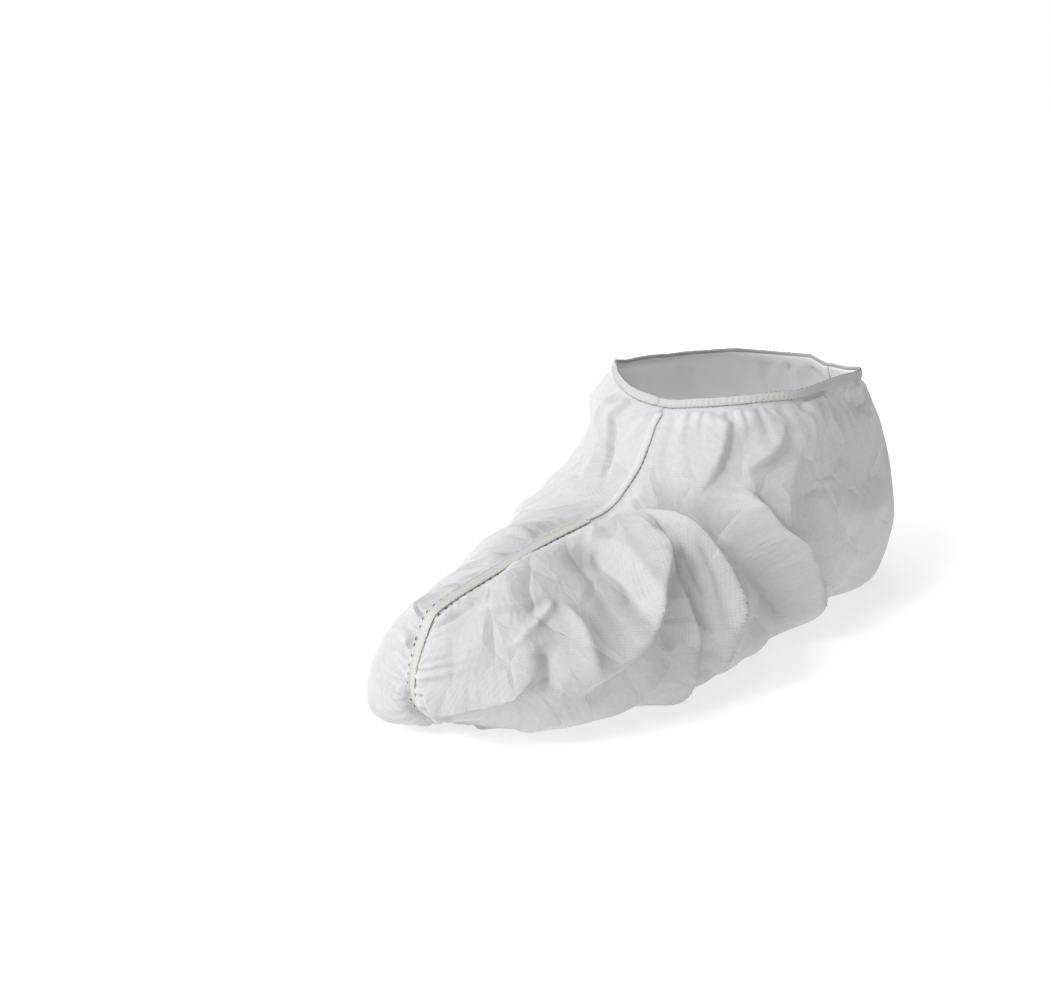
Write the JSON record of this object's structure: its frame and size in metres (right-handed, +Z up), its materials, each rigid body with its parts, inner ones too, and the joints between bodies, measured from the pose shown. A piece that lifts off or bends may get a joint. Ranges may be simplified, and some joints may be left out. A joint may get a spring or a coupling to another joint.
{
  "type": "disposable shoe cover",
  "caption": "Ankle-high bootie cover of thin white nonwoven fabric, open at the top, with an elastic-bound collar and an elastic tape that gathers the toe along a centre seam.",
  "frame": {"origin": "on the floor, under the middle of the cover's box", "axes": "+X towards the wearer's left, +Y from the toe towards the heel, +Z up out of the opening"},
  "size_m": [0.1744, 0.4072, 0.1479],
  "materials": {
    "nonwoven_fabric": "matt, softly creased, faint embossed grid",
    "elastic_tape": "ribbed woven elastic"
  },
  "bodies": {
    "root": {"left_panel": "nonwoven_fabric", "right_panel": "nonwoven_fabric", "front_seam": "nonwoven_fabric", "sole_seam": "nonwoven_fabric", "toe_elastic": "elastic_tape", "collar_binding": "elastic_tape"}
  },
  "joints": []
}
